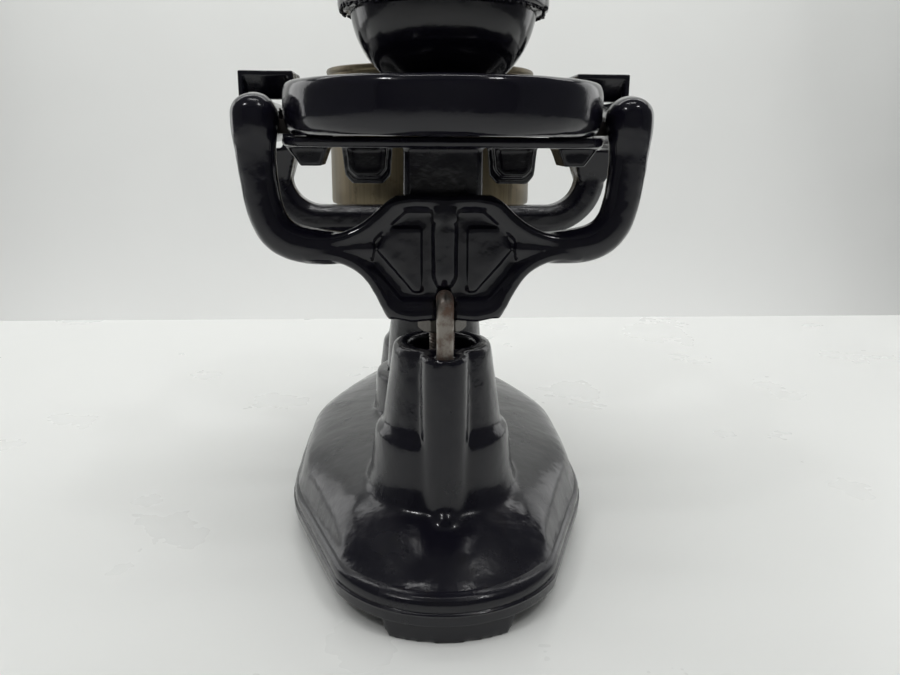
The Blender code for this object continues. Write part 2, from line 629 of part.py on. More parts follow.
def check_stay(axis):
    nose = arc(ARM, STAY_Z, 6.5, -60, 60, 4)
    outline = nose + [(-y, z) for y, z in reversed(nose)]
    bar = prism_x("stay", outline, -6.0, 6.0)
    cut(bar, rod_x("pivot_eye", 3.3, 0, STAY_Z, -10, 10), rod_x("near_eye", 3.3, -ARM, STAY_Z, -10, 10),
        rod_x("far_eye", 3.3, ARM, STAY_Z, -10, 10))
    finish(bar, "check_stay", STEEL, axis)
    for y, word in ((-ARM, "near"), (ARM, "far")):
        finish(rod_x("pin", 3.0, y, STAY_Z, -10.6, 10.6), f"stay_pin_{word}", STEEL, axis)


def build():
    clear_scene()
    beam_axis = axis_empty("beam_axis", 0, KNIFE_Z)
    near_axis = axis_empty("near_axis", -ARM, KNIFE_Z)
    far_axis = axis_empty("far_axis", ARM, KNIFE_Z)
    stay_axis = axis_empty("stay_axis", 0, STAY_Z)
    base_casting()
    fork_casting()
    for side, word in ((-1, "left"), (1, "right")):
        fulcrum_fittings(side, word)
    stop_hook()
    finish(rod_x("pin", 3.0, 0, STAY_Z, -14.2, 14.2), "stay_pivot_pin", STEEL)
    beam_body(beam_axis)
    near_carrier(near_axis)
    far_carrier(far_axis)
    goods_dish(near_axis)
    goods_bowl(near_axis)
    brass_bucket(far_axis)
    check_stay(stay_axis)


build()
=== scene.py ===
"""Looks of the counter balance scale: cast iron under thick black enamel, worn steel, old brass.

Lengths are in millimetres and make_mesh() turns them into metres. Lights and the camera are
placed in metres. Near is -Y, left is -X.
"""
import json
from math import cos, pi, radians, sin

import bmesh
import bpy
import numpy as np
from mathutils import Matrix, Vector


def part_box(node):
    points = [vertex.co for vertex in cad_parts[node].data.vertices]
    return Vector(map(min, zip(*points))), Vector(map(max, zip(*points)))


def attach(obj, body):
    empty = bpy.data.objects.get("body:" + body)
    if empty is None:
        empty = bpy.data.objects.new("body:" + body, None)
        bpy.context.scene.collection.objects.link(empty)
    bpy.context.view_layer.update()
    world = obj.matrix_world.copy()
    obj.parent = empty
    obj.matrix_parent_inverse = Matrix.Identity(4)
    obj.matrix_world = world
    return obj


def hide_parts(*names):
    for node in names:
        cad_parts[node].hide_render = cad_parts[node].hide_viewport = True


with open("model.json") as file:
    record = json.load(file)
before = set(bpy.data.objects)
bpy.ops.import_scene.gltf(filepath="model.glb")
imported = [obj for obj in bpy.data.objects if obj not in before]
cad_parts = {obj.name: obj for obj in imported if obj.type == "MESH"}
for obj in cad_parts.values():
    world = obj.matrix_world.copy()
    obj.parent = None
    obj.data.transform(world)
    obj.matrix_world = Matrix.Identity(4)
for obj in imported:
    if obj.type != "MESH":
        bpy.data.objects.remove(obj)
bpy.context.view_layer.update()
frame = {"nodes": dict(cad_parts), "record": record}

MM = 0.001
BODY_OF = {node: body for body, nodes in frame["record"]["behaviour"]["bodies"].items()
           for node in nodes}

ARM = 88.0
KNIFE_Z = 219.5
BASE_HALF_WIDTH, BASE_HALF_LENGTH = 83.0, 167.0
END_RADIUS = 58.6
FOOT_HEIGHT = 8.5
BODY_FOOT = 23.0
TOWER_TOP = 115.5
PILLAR_TOP = 75.8
HOOK_Y, HOOK_RADIUS, HOOK_BEND = -116.3, 3.95, 5.0
HOOK_ARM_Z, HOOK_FOOT_Z, HOOK_TIP_Y = 140.85, 86.0, -110.1
YOKE_FRONT, YOKE_FLOOR_Y, YOKE_BACK = -111.5, -108.0, -101.5
HORN_Y = -105.0
PLATE_Z, PLATE_TOP = 207.5, 212.0
RING_Z, RING_TOP = 212.0, 220.6
LEG_RADIUS, THREAD_PITCH, NUT_ACROSS_FLATS = 6.35, 1.5, 20.6
TOWER_BORE, PILLAR_SOCKET, BOLT_BORE = 16.0, 24.3, 5.3
FIT_GAP = 0.3
HOOD_TOP, HOOD_FOOT = 246.0, 222.4
BOWL_CENTRE_Z, BOWL_RADIUS = 270.0, 41.5

IRON, STEEL, BRASS = "enamelled_iron", "worn_steel", "turned_brass"


# Materials --------------------------------------------------------------------

def add_node(tree, kind, values=None, links=None, **settings):
    made = tree.nodes.new(kind)
    for name, value in settings.items():
        setattr(made, name, value)
    for name, value in (values or {}).items():
        made.inputs[name].default_value = value
    for name, source in (links or {}).items():
        tree.links.new(source, made.inputs[name])
    return made


def object_space(tree, stretch=(1.0, 1.0, 1.0)):
    space = add_node(tree, "ShaderNodeTexCoord").outputs["Object"]
    return add_node(tree, "ShaderNodeMapping", {"Scale": stretch},
                    {"Vector": space}).outputs["Vector"]


def grain(tree, space, scale, detail=3.0, roughness=0.55):
    return add_node(tree, "ShaderNodeTexNoise",
                    {"Scale": scale, "Detail": detail, "Roughness": roughness},
                    {"Vector": space}).outputs["Fac"]


def remap(tree, value, low, high, to_low, to_high):
    return add_node(tree, "ShaderNodeMapRange",
                    {"From Min": low, "From Max": high, "To Min": to_low, "To Max": to_high},
                    {"Value": value}).outputs["Result"]


def tint(tree, amount, first, second):
    """Blend two colours, each a plain colour or another blend."""
    made = add_node(tree, "ShaderNodeMix", data_type="RGBA")
    tree.links.new(amount, made.inputs[0])
    for slot, colour in ((6, first), (7, second)):
        if isinstance(colour, tuple):
            made.inputs[slot].default_value = (*colour, 1.0)
        else:
            tree.links.new(colour, made.inputs[slot])
    return made.outputs[2]


def relief(tree, layers):
    """Stack (height, depth in mm) layers into one bumped normal."""
    normal = None
    for height, depth in layers:
        bump = add_node(tree, "ShaderNodeBump", {"Strength": 1.0, "Distance": depth * MM},
                        {"Height": height})
        if normal:
            tree.links.new(normal, bump.inputs["Normal"])
        normal = bump.outputs["Normal"]
    return normal


def new_look(title, metallic, **sockets):
    look = bpy.data.materials.new(title)
    look.use_nodes = True
    shader = look.node_tree.nodes["Principled BSDF"]
    shader.inputs["Metallic"].default_value = metallic
    for name, value in sockets.items():
        shader.inputs[name.replace("_", " ")].default_value = value
    return look, look.node_tree, shader


def connect(tree, shader, **sources):
    for name, source in sources.items():
        tree.links.new(source, shader.inputs[name.replace("_", " ")])


def edge_wear(tree):
    """Nothing on flat faces, full on outer edges."""
    pointed = add_node(tree, "ShaderNodeNewGeometry").outputs["Pointiness"]
    return remap(tree, pointed, 0.53, 0.6, 0.0, 1.0)


def times(tree, first, second):
    return add_node(tree, "ShaderNodeMath", links={0: first, 1: second},
                    operation="MULTIPLY").outputs[0]


def enamel(title, peel, gloss):
    """Thick black stove enamel: orange peel, pinholes, dust and thin spots on edges."""
    look, tree, shader = new_look(title, 0.0, Coat_Weight=0.2, Coat_Roughness=0.08, IOR=1.45)
    space = object_space(tree)
    cloud = grain(tree, space, 24.0, 5.0)
    dust = remap(tree, grain(tree, space, 62.0, 8.0, 0.68), 0.56, 0.74, 0.0, 0.5)
    chips = remap(tree, grain(tree, space, 340.0, 4.0), 0.52, 0.66, 0.0, 0.55)
    thin = times(tree, edge_wear(tree), chips)
    colour = tint(tree, cloud, (0.0036, 0.0034, 0.0078), (0.0075, 0.0068, 0.0118))
    colour = tint(tree, dust, colour, (0.014, 0.012, 0.011))
    colour = tint(tree, thin, colour, (0.035, 0.027, 0.021))
    smear = remap(tree, grain(tree, space, 38.0, 6.0, 0.6), 0.32, 0.7, gloss * 0.6, gloss * 1.7)
    holes = add_node(tree, "ShaderNodeTexVoronoi", {"Scale": 210.0}, {"Vector": space})
    pinholes = remap(tree, holes.outputs["Distance"], 0.0, 0.16, 0.0, 1.0)
    normal = relief(tree, [(grain(tree, space, 30.0, 2.0), 0.35 * peel),
                           (grain(tree, space, 150.0, 2.5), 0.16 * peel),
                           (grain(tree, space, 520.0, 3.0), 0.05 * peel),
                           (pinholes, 0.03 * peel)])
    connect(tree, shader, Base_Color=colour, Roughness=smear, Normal=normal, Coat_Normal=normal)
    return look


def steel(title, rust_amount, shine=1.0):
    """Grey drawn steel with brown rust in the hollows of a fine noise."""
    look, tree, shader = new_look(title, 1.0)
    space = object_space(tree)
    drawn = grain(tree, object_space(tree, (1.0, 1.0, 0.06)), 900.0, 4.0)
    bloom = grain(tree, space, 95.0, 9.0, 0.7)
    rust = remap(tree, bloom, 0.66 - rust_amount * 0.3, 0.74 - rust_amount * 0.2, 0.0, 1.0)
    dull, clean = (tuple(shine * part for part in colour)
                   for colour in ((0.24, 0.215, 0.19), (0.36, 0.335, 0.305)))
    metal = tint(tree, drawn, dull, clean)
    brown = tint(tree, grain(tree, space, 420.0, 6.0), (0.1, 0.06, 0.045), (0.19, 0.12, 0.09))
    connect(tree, shader, Base_Color=tint(tree, rust, metal, brown),
            Metallic=remap(tree, rust, 0.0, 1.0, 1.0, 0.25),
            Roughness=remap(tree, rust, 0.0, 1.0, 0.34, 0.72),
            Normal=relief(tree, [(drawn, 0.03), (bloom, 0.35),
                                 (grain(tree, space, 700.0, 3.0), 0.05)]))
    return look


def brass(title):
    """Satin brass gone brown, wiped in upright streaks."""
    look, tree, shader = new_look(title, 1.0)
    streak = grain(tree, object_space(tree, (1.0, 1.0, 0.035)), 260.0, 6.0, 0.62)
    broad = grain(tree, object_space(tree, (1.0, 1.0, 0.12)), 34.0, 4.0)
    turned = grain(tree, object_space(tree, (0.03, 0.03, 1.0)), 900.0, 3.0)
    spots = remap(tree, grain(tree, object_space(tree), 130.0, 8.0, 0.7), 0.58, 0.74, 0.0, 0.7)
    wiped = remap(tree, streak, 0.3, 0.7, 0.0, 1.0)
    colour = tint(tree, wiped, (0.06, 0.046, 0.027), (0.18, 0.145, 0.09))
    colour = tint(tree, remap(tree, broad, 0.3, 0.7, 0.0, 0.75), colour, (0.22, 0.19, 0.13))
    colour = tint(tree, spots, colour, (0.05, 0.036, 0.022))
    connect(tree, shader, Base_Color=colour,
            Roughness=remap(tree, streak, 0.25, 0.75, 0.3, 0.5),
            Normal=relief(tree, [(streak, 0.04), (turned, 0.02), (spots, 0.03)]))
    return look


def studio_white(title, roughness, share=1.0):
    """Off-white paint; with a smaller share, a dim grey that serves as painted shade."""
    look, tree, shader = new_look(title, 0.0)
    space = object_space(tree)
    pale, paler = (tuple(share * part for part in colour)
                   for colour in ((0.78, 0.79, 0.765), (0.85, 0.86, 0.835)))
    shade = tint(tree, grain(tree, space, 2.2, 4.0), pale, paler)
    wear = remap(tree, grain(tree, space, 9.0, 5.0), 0.3, 0.7, roughness * 0.8, roughness * 1.3)
    connect(tree, shader, Base_Color=shade, Roughness=wear)
    return look


# Shapes -----------------------------------------------------------------------

def make_mesh(name, points, faces):
    mesh = bpy.data.meshes.new(name)
    mesh.from_pydata([Vector(point) * MM for point in points], [], faces)
    work = bmesh.new()
    work.from_mesh(mesh)
    bmesh.ops.recalc_face_normals(work, faces=work.faces)
    work.to_mesh(mesh)
    work.free()
    thing = bpy.data.objects.new(name, mesh)
    bpy.context.scene.collection.objects.link(thing)
    return thing


def skin_faces(count, rows):
    """Quads between a row of closed rings."""
    faces = []
    for row in range(rows - 1):
        for i in range(count):
            a = row * count + i
            b = row * count + (i + 1) % count
            faces.append((a, b, b + count, a + count))
    return faces


def loft(name, rings):
    """Skin a row of closed rings that have the same number of points, ends closed."""
    count = len(rings[0])
    points = [point for ring in rings for point in ring]
    ends = [tuple(range(count)), tuple(range(len(points) - count, len(points)))]
    return make_mesh(name, points, ends + skin_faces(count, len(rings)))


def band(name, rings):
    """Skin rings whose last one joins the first again, as on a hoop."""
    count = len(rings[0])
    points = [point for ring in rings for point in ring]
    total = len(points)
    faces = skin_faces(count, len(rings))
    faces += [tuple(index % total for index in face)
              for face in skin_faces(count, len(rings) + 1)[len(faces):]]
    return make_mesh(name, points, faces)


def box(name, x0, x1, y0, y1, z0, z1):
    corners = [(x0, y0), (x1, y0), (x1, y1), (x0, y1)]
    return loft(name, [[(x, y, z) for x, y in corners] for z in (z0, z1)])


def prism_x(name, outline, x0, x1):
    return loft(name, [[(x, y, z) for y, z in outline] for x in (x0, x1)])


def prism_y(name, outline, y0, y1):
    return loft(name, [[(x, y, z) for x, z in outline] for y in (y0, y1)])


def prism_z(name, outline, z0, z1):
    return loft(name, [[(x, y, z) for x, y in outline] for z in (z0, z1)])


def arc(x, z, radius, start, end, steps):
    angles = [radians(start + (end - start) * i / steps) for i in range(steps + 1)]
    return [(x + radius * cos(a), z + radius * sin(a)) for a in angles]


def circle(radius, steps, x=0.0, y=0.0):
    return arc(x, y, radius, 0.0, 360.0, steps)[:-1]


def rod_z(name, radius, x, y, z0, z1, steps=48):
    """Round bar, turned a little so that its corners miss those of a lathe on its axis."""
    return prism_z(name, arc(x, y, radius, 2.3, 362.3, steps)[:-1], z0, z1)


def lathe(name, profile, y=0.0, steps=96):
    """Turn an (r, z) profile about the vertical through (0, y)."""
    points, rows = [], []
    for radius, z in profile:
        if radius < 0.01:
            points.append((0.0, y, z))
            rows.append([len(points) - 1] * steps)
        else:
            rows.append([len(points) + i for i in range(steps)])
            points += [(px, py, z) for px, py in circle(radius, steps, 0.0, y)]
    if profile[0][0] >= 0.01:
        rows.append(rows[0])
    faces = []
    for lower, upper in zip(rows, rows[1:]):
        for i in range(steps):
            j = (i + 1) % steps
            face = dict.fromkeys((lower[i], lower[j], upper[j], upper[i]))
            if len(face) > 2:
                faces.append(tuple(face))
    return make_mesh(name, points, faces)


def flowing(points, steps=4):
    """Smooth curve through rows of numbers, with this many stretches between each two."""
    rows = np.array(points, float)
    gaps = np.linalg.norm(np.diff(rows, axis=0), axis=1)[:, None]
    slopes = np.diff(rows, axis=0) / gaps
    inside = (slopes[:-1] * gaps[1:] + slopes[1:] * gaps[:-1]) / (gaps[:-1] + gaps[1:])
    bends = np.vstack([slopes[:1], inside, slopes[-1:]]) if len(gaps) > 1 else np.vstack([slopes] * 2)
    made = []
    for i, gap in enumerate(gaps):
        for t in np.arange(steps) / steps:
            back = 1 - t
            made.append(rows[i] * (1 + 2 * t) * back ** 2 + bends[i] * gap * t * back ** 2
                        + rows[i + 1] * t ** 2 * (3 - 2 * t) - bends[i + 1] * gap * t ** 2 * back)
    return [tuple(row) for row in made] + [tuple(rows[-1])]


def eased(points, radius, steps=4):
    """Round the corners of an open line."""
    made = [tuple(points[0])]
    for before, here, after in zip(points, points[1:], points[2:]):
        before, here, after = Vector(before), Vector(here), Vector(after)
        start = here + (before - here) * min(0.5, radius / max(0.001, (before - here).length))
        end = here + (after - here) * min(0.5, radius / max(0.001, (after - here).length))
        for k in range(steps + 1):
            t = k / steps
            made.append(tuple(start * (1 - t) ** 2 + here * 2 * t * (1 - t) + end * t ** 2))
    return made + [tuple(points[-1])]


def mirrored(half):
    """Close a right-hand half outline, listed top to foot, with its mirror image."""
    return half + [(-x, z) for x, z in reversed(half) if x > 0.01]


def inset(outline, depth):
    """Move every corner of a closed outline inwards."""
    turning = sum(a[0] * b[1] - b[0] * a[1] for a, b in zip(outline, outline[1:] + outline[:1]))
    hand = 1 if turning > 0 else -1
    made = []
    for i, corner in enumerate(outline):
        here = Vector(corner)
        arriving = (here - Vector(outline[i - 1])).normalized()
        leaving = (Vector(outline[(i + 1) % len(outline)]) - here).normalized()
        across = Vector((-arriving.y, arriving.x)) + Vector((-leaving.y, leaving.x))
        across = across.normalized() * hand
        straight = Vector((-arriving.y, arriving.x)) * hand
        made.append(tuple(here + across * depth / max(0.5, across.dot(straight))))
    return made


def soft_prism_y(name, outline, front, back, ease, steps=4):
    """Extrude an (x, z) outline along Y with a rounded front edge."""
    rings = [(back, 0.0)]
    for k in range(steps + 1):
        turn = pi / 2 * k / steps
        rings.append((front + ease * (1 - sin(turn)), ease * (1 - cos(turn))))
    return loft(name, [[(x, y, z) for x, z in inset(outline, depth)] for y, depth in rings])


def sweep(name, path, sections, side, steps=24, corner=0.0):
    """Sweep an oval (or, with a corner, an eight-sided bar) along a path."""
    path = [Vector(point) for point in path]
    side = Vector(side)
    rings = []
    for i, centre in enumerate(path):
        along = (path[min(i + 1, len(path) - 1)] - path[max(i - 1, 0)]).normalized()
        across = (side - along * side.dot(along)).normalized()
        up = along.cross(across)
        wide, high = sections[i]
        if corner:
            cut = [(wide, high - corner), (wide - corner, high), (corner - wide, high),
                   (-wide, high - corner), (-wide, corner - high), (corner - wide, -high),
                   (wide - corner, -high), (wide, corner - high)]
        else:
            cut = [(wide * u, high * v) for u, v in circle(1.0, steps)]
        rings.append([tuple(centre + across * u + up * v) for u, v in cut])
    return loft(name, rings)


def baked(thing):
    """Replace an object's mesh by what its modifiers make of it."""
    graph = bpy.context.evaluated_depsgraph_get()
    mesh = bpy.data.meshes.new_from_object(thing.evaluated_get(graph))
    thing.modifiers.clear()
    thing.data = mesh
    return thing


def combine(body, operation, others):
    for other in others:
        modifier = body.modifiers.new(other.name, "BOOLEAN")
        modifier.operation = operation
        modifier.object = other
    baked(body)
    for other in others:
        bpy.data.objects.remove(other, do_unlink=True)
    return body


def join(body, *others):
    return combine(body, "UNION", others)


def cut(body, *others):
    return combine(body, "DIFFERENCE", others)


def split(thing):
    """Cut every face into four, so that faint waves have something to move."""
    finer = thing.modifiers.new("finer", "SUBSURF")
    finer.subdivision_type = "SIMPLE"
    finer.levels = finer.render_levels = 1
    return thing


def ripple(thing, size, height):
    """Faint waves of this size and height, as in a hand-finished surface."""
    clouds = bpy.data.textures.new("waves", "CLOUDS")
    clouds.noise_scale = size * MM
    wave = thing.modifiers.new("ripple", "DISPLACE")
    wave.texture = clouds
    wave.texture_coords = "LOCAL"
    wave.strength = height * MM
    return thing


def cast(thing, voxel, rounds=7, waves=0.55):
    """Give a piece the soft edges and uneven faces of a sand casting under thick enamel."""
    cells = thing.modifiers.new("cells", "REMESH")
    cells.mode = "VOXEL"
    cells.voxel_size = voxel * MM
    relax = thing.modifiers.new("relax", "SMOOTH")
    relax.factor = 0.5
    relax.iterations = rounds
    return baked(ripple(ripple(thing, 17.0, waves), 5.0, waves * 0.28))


def place(thing, name, slot, look, *nodes, smooth=42):
    """Name a finished piece, give it its finish, and let it ride with the node it stands for."""
    thing.name = name
    thing.data.name = name
    thing.data.materials.clear()
    thing.data.materials.append(look)
    thing.data.shade_smooth()
    thing.data.set_sharp_from_angle(angle=radians(smooth))
    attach(thing, BODY_OF[nodes[0]])
    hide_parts(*nodes)
    return thing


# Base -------------------------------------------------------------------------

def plan_ring(half_width, half_length, z):
    """Plan of the base: round noses, tapering flats and parallel sides, more oval higher up."""
    quarter = [(83.0, 14.0), (83.0, 26.0), (82.6, 37.0), (81.5, 47.5), (79.6, 57.0)]
    for t in (0.15, 0.3, 0.45, 0.6, 0.75, 0.9):
        quarter.append((81.8 - t * 30.6, 53.0 + t * 83.5))
    quarter += arc(0.0, BASE_HALF_LENGTH - END_RADIUS, END_RADIUS, 30.0, 90.0, 16)
    right = [(x, -y) for x, y in reversed(quarter)] + [(83.0, 0.0)] + quarter
    outline = right + [(-x, y) for x, y in reversed(right) if x > 0.01]
    wide, long = half_width / BASE_HALF_WIDTH, half_length / BASE_HALF_LENGTH
    oval = 0.6 * min(1.0, max(0.0, (z - BODY_FOOT) / 28.0))
    ring = []
    for x, y in outline:
        reach = ((x / BASE_HALF_WIDTH) ** 2 + (y / BASE_HALF_LENGTH) ** 2) ** 0.5
        pull = 1 - oval + oval / reach
        ring.append((x * wide * pull, y * long * pull, z))
    return ring


BRIM = [  # z, half width, half length, from the moulding up the hollow brim to the top
    (FOOT_HEIGHT + 0.6, 81.6, 165.6), (15.0, 81.6, 165.6), (19.8, 81.2, 164.2), (21.2, 80.4, 161.6),
    (22.8, 79.5, 158.2), (29.0, 78.2, 149.0), (35.0, 75.6, 139.2), (40.0, 69.5, 130.0),
    (44.5, 58.5, 119.0), (48.0, 46.0, 110.0), (50.5, 34.0, 102.0), (51.5, 20.0, 80.0)]

MOULDING = [  # z and outward offset of the band round the plinth, foot to bead
    (FOOT_HEIGHT, -0.5), (FOOT_HEIGHT + 0.5, 0.0), (13.4, 0.0), (13.8, 0.4), (14.3, 0.45),
    (14.7, 0.1), (15.0, -0.5), (15.5, -0.6), (16.4, -0.35), (18.4, -0.5), (20.0, -1.2),
    (21.2, -2.7), (22.0, -5.2)]


def base_tower(sign):
    y = sign * ARM
    profile = [(0, 38), (41, 38), (38.4, 44), (36.0, 50.5), (35.2, 56), (33.8, 69.0), (33.2, 71.6),
               (32.2, 73.2), (30.3, 74.4), (29.4, 77), (27, 93), (24.5, 111), (23.9, 114.6),
               (22.4, TOWER_TOP), (0, TOWER_TOP)]
    tower = lathe("tower", profile[:1] + eased(profile[1:-1], 1.2, 3) + profile[-1:], y)
    rib = loft("rib", [[(x, y, z) for x, y in arc(0.0, sign * middle, 11.0, 2.3, 362.3, 48)[:-1]]
                       for z, middle in ((36.0, 118.4), (72.0, 116.2), (TOWER_TOP - 0.6, 113.2))])
    toe = [(0, 34), (6.6, 36), (6.2, 40), (4.4, 42.6), (2.2, 43.8), (0, 44)]
    toe = lathe("toe", toe, sign * 127.2, 32)
    return [tower, rib, toe]


def foot_pad(sign):
    centre = sign * (BASE_HALF_LENGTH - END_RADIUS)
    rings = []
    for z, reach in ((0.0, 28.0), (2.0, 29.5), (FOOT_HEIGHT + 2, 33.0)):
        outer = arc(0.0, 0.0, END_RADIUS - 0.8, -reach, reach, 24)
        inner = arc(0.0, 0.0, END_RADIUS - 11.5, reach, -reach, 24)
        rings.append([(-y, centre + sign * x, z) for x, y in outer + inner])
    return loft("pad", rings)


def base_iron(look):
    pillar = lathe("pillar", [(0, 40), (41, 40), (38.5, 46), (37, 51), (35.6, 73.6), (34.8, 75.2),
                              (33.6, PILLAR_TOP), (0, PILLAR_TOP)])
    levels = BRIM[:3] + flowing(BRIM[3:], 3)
    body = loft("base", [plan_ring(wide, long, z) for z, wide, long in levels])
    join(body, *base_tower(-1), *base_tower(1), pillar)
    hollow = [(-1, 77, 161), (16, 77, 161), (24, 73, 149), (34, 68, 131), (40, 57, 117),
              (44, 40, 98), (45.5, 20, 78)]
    cut(body, loft("hollow", [plan_ring(wide, long, z) for z, wide, long in hollow]))
    extra = [foot_pad(-1), foot_pad(1)]
    for side in (-1, 1):
        x0, x1 = sorted((side * 71.5, side * 82.2))
        extra.append(box("side_pad", x0, x1, -22.0, 22.0, 0.0, FOOT_HEIGHT + 2))
        x0, x1 = sorted((side * 9.5, side * 14.5))
        extra.append(prism_x("lug", [(-9, 48), (-9, 27), (-6, 21), (6, 21), (9, 27), (9, 48)], x0, x1))
    join(body, *extra)
    eye = prism_x("eye", circle(3.3, 24, 0.0, 28.0), -20, 20)
    cut(body, rod_z("near_bore", TOWER_BORE, 0, -ARM, 30, 125),
        rod_z("far_bore", TOWER_BORE, 0, ARM, 30, 125),
        rod_z("socket", PILLAR_SOCKET, 0, 0, 52, 90), rod_z("bolt_hole", BOLT_BORE, 0, 0, 40, 60),
        rod_z("hook_hole", HOOK_RADIUS + 0.5, 0, HOOK_Y, HOOK_FOOT_Z - 0.3, 125), eye)
    cast(body, 1.55, 5, 0.45)
    place(body, "base_iron", IRON, look, "base_casting")
    rings = [plan_ring(BASE_HALF_WIDTH + off, BASE_HALF_LENGTH + off, z)
             for z, off in eased(MOULDING, 0.5, 2)]
    rings += [plan_ring(77.0, 160.4, 22.0), plan_ring(77.0, 160.4, FOOT_HEIGHT)]
    moulding = baked(ripple(band("moulding", rings), 14.0, 0.5))
    place(moulding, "plinth_moulding", IRON, look, "base_casting")


def fork_iron(look):
    profile = [(0, 52.3), (24, 52.3), (24, PILLAR_TOP + 0.3), (29.2, PILLAR_TOP + 0.3),
               (28.6, 82), (28.0, 90), (26.6, 105), (26, 130), (27, 150), (30, 161), (30, 164), (0, 164)]
    column = lathe("column", profile)
    half = arc(64.7, 190.7, 25.0, -90, 0, 18) + [(89.7, 198.0)]
    path = [(-x, 0.0, z) for x, z in reversed(half)] + [(x, 0.0, z) for x, z in half]
    parts = [sweep("fork", path, [(10.0, 8.1)] * len(path), (0, 1, 0), corner=4.5)]
    tools = [rod_z("bolt_bore", BOLT_BORE, 0, 0, 50, 70)]
    for side in (-1, 1):
        rings = []
        for z, x0, x1, deep in ((188, 82.1, 97.3, 9), (204, 77.5, 105.5, 15), (222, 77.5, 105.5, 15)):
            corners = [(x0, -deep), (x1, -deep), (x1, deep), (x0, deep)]
            rings.append([(side * x, y, z) for x, y in corners])
        parts.append(loft("cheek", rings))
        x0, x1 = sorted((side * 104.5, side * 112.4))
        parts.append(box("ear", x0, x1, -5, 5, 212, 221.8))
        x0, x1 = sorted((side * 84.3, side * 98.7))
        tools.append(box("slot", x0, x1, -30, 30, 205.5, 230))
        x0, x1 = sorted((side * 79.3, side * 103.7))
        tools.append(box("pocket", x0, x1, -6.3, 6.3, 213.2, 230))
        tools.append(rod_z("screw_bore", 1.9, side * 109.8, 0, 214, 230))
    join(column, *parts)
    place(cast(cut(column, *tools), 1.0, 5, 0.5), "fork_iron", IRON, look, "centre_fork")


def hood_iron(side, word, look):
    """Cap over a fulcrum bearing: flat top, cornice sloping in to the tunnel."""
    middle = side * 91.75
    outline = [(middle - 14.7, HOOD_FOOT), (middle + 14.7, HOOD_FOOT),
               (middle + 14.7, HOOD_TOP), (middle - 14.7, HOOD_TOP)]
    hood = prism_y("hood", outline, -15.5, 15.5)
    x0, x1 = sorted((side * 105.5, side * 112.4))
    join(hood, box("ear", x0, x1, -5, 5, HOOD_FOOT, HOOD_FOOT + 3.6))
    rings = []
    for y, half, roof in ((-16, 12.0, 243.7), (-5, 10.4, 231.8), (5, 10.4, 231.8), (16, 12.0, 243.7)):
        tunnel = [(-half, 226), (half, 226), (half, roof), (-half, roof)]
        rings.append([(middle + x, y, z) for x, z in tunnel])
    cut(hood, box("tunnel_foot", middle - 12.8, middle + 12.8, -20, 20, 215, 230.4),
        loft("tunnel", rings), rod_z("screw_hole", 2.2, side * 109.8, 0, 215, 240))
    place(cast(hood, 0.62, 3, 0.3), f"hood_iron_{word}", IRON, look, f"bearing_hood_{word}")


# Beam -------------------------------------------------------------------------

ARM_LINE = [  # x, y, half width, half height of a side arm, near end to far end
    (82.5, -112.5, 3.0, 3.4), (82.5, -111.6, 5.4, 5.8), (82.5, -109.6, 8.0, 8.4),
    (82.5, -105.0, 10.1, 10.6), (83.6, -92.0, 9.6, 10.2), (87.6, -60.0, 7.8, 9.8),
    (91.0, -28.0, 6.4, 10.5), (91.5, 0.0, 6.0, 11.0), (91.3, 28.0, 6.4, 10.5),
    (90.0, 60.0, 7.4, 9.6), (88.3, 90.0, 8.4, 9.4), (88.0, 99.0, 8.2, 9.0),
    (88.0, 103.5, 6.0, 6.6), (88.0, 105.5, 2.6, 3.0)]

HORN_LINE = [  # x, z, radius of a horn, from the arm down and in to the yoke
    (82.5, 219.5, 10.2), (82.6, 206.0, 8.9), (81.6, 193.0, 8.3), (80.0, 182.0, 8.2),
    (77.4, 174.4, 8.3), (73.2, 169.0, 8.4), (67.8, 166.0, 8.4), (61.4, 164.4, 8.2),
    (54.8, 163.6, 7.8), (44.0, 163.2, 7.2), (32.0, 163.2, 6.6)]

HORN_CROWN = [(82.5, 229.9, 1.6), (82.5, 229.3, 4.2), (82.5, 227.4, 7.3), (82.5, 224.0, 9.6)]

YOKE_SHOULDER = [(24.0, 185.6), (27.4, 181.5), (34.2, 175.7), (43.3, 170.9), (51.0, 168.6)]
YOKE_WAIST = [(51.0, 158.0), (43.7, 155.2), (36.0, 149.7), (30.3, 141.3), (27.4, 133.6), (25.6, 130.9)]
RIM_TOP = [(62.0, 167.0), (51.0, 166.4), (43.3, 168.2), (34.2, 172.8), (27.4, 178.5), (23.0, 182.5),
           (19.5, 183.7), (0.0, 183.8)]
RIM_FOOT = [(62.0, 160.5), (51.0, 160.9), (43.0, 158.6), (34.8, 152.6), (28.4, 142.6), (25.0, 136.4),
            (21.0, 133.9), (0.0, 133.8)]
RECESS = [(16.9, 180.0), (36.9, 162.0), (19.6, 140.6)]
PANEL = [(10.4, 172.8), (25.5, 172.8), (30.5, 163.0), (14.0, 143.5), (10.4, 143.5)]
KNIVES = ((0.0, 1, 79.9, 103.1), (-ARM, -1, 52.9, 90.0), (ARM, -1, 70.9, 92.5))


